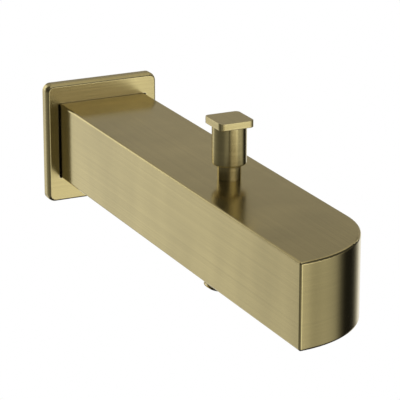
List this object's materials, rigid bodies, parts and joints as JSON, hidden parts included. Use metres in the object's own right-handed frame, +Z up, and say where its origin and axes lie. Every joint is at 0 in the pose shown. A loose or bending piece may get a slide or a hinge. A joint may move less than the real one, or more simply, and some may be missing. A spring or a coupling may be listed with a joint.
{
  "type": "bath spout",
  "caption": "Wall-mounted bath spout: a long square bar with a rounded nose, a square wall flange, a pull-up diverter knob on top and a threaded hand-shower outlet below.",
  "frame": {"origin": "centre of the water inlet on the wall plane", "axes": "+Y into the wall along the inlet thread, so the spout runs out along -Y; +Z up; +X to the right of someone facing the wall"},
  "size_m": [0.055, 0.2558, 0.073],
  "materials": {
    "brushed_bronze": "brushed, lacquered antique bronze",
    "plain_brass": "turned",
    "stainless_steel": "plain",
    "seal_rubber": "matt",
    "gasket_foam": "closed-cell foam",
    "aerator_plastic": "moulded"
  },
  "bodies": {
    "spout": {"spout_body": "brushed_bronze", "wall_flange": "brushed_bronze", "flange_gasket": "gasket_foam", "wall_adapter": "plain_brass", "adapter_o_ring_inner": "seal_rubber", "adapter_o_ring_outer": "seal_rubber", "body_set_screw": "stainless_steel", "flange_set_screw": "stainless_steel", "stem_guide_bush": "plain_brass", "stem_o_ring_lower": "seal_rubber", "stem_o_ring_upper": "seal_rubber", "bush_o_ring": "seal_rubber", "return_spring": "stainless_steel", "shower_outlet_nipple": "brushed_bronze", "nipple_o_ring": "seal_rubber", "aerator_housing": "brushed_bronze", "aerator_insert": "aerator_plastic", "aerator_washer": "seal_rubber"},
    "diverter": {"diverter_knob": "brushed_bronze", "knob_set_screw": "stainless_steel", "diverter_stem": "brushed_bronze", "valve_plunger": "plain_brass", "upper_valve_washer": "seal_rubber", "lower_valve_washer": "seal_rubber", "spring_seat_washer": "stainless_steel", "plunger_lock_washer": "stainless_steel", "plunger_nut": "plain_brass"}
  },
  "joints": [
    {"name": "diverter_pull", "type": "slide", "parent": "spout", "child": "diverter", "axis": [0, 0, 1], "range_m": [0, 0.0074], "stiffness_N_per_m": 880, "springref_m": -0.003, "deforming": ["return_spring"]}
  ]
}
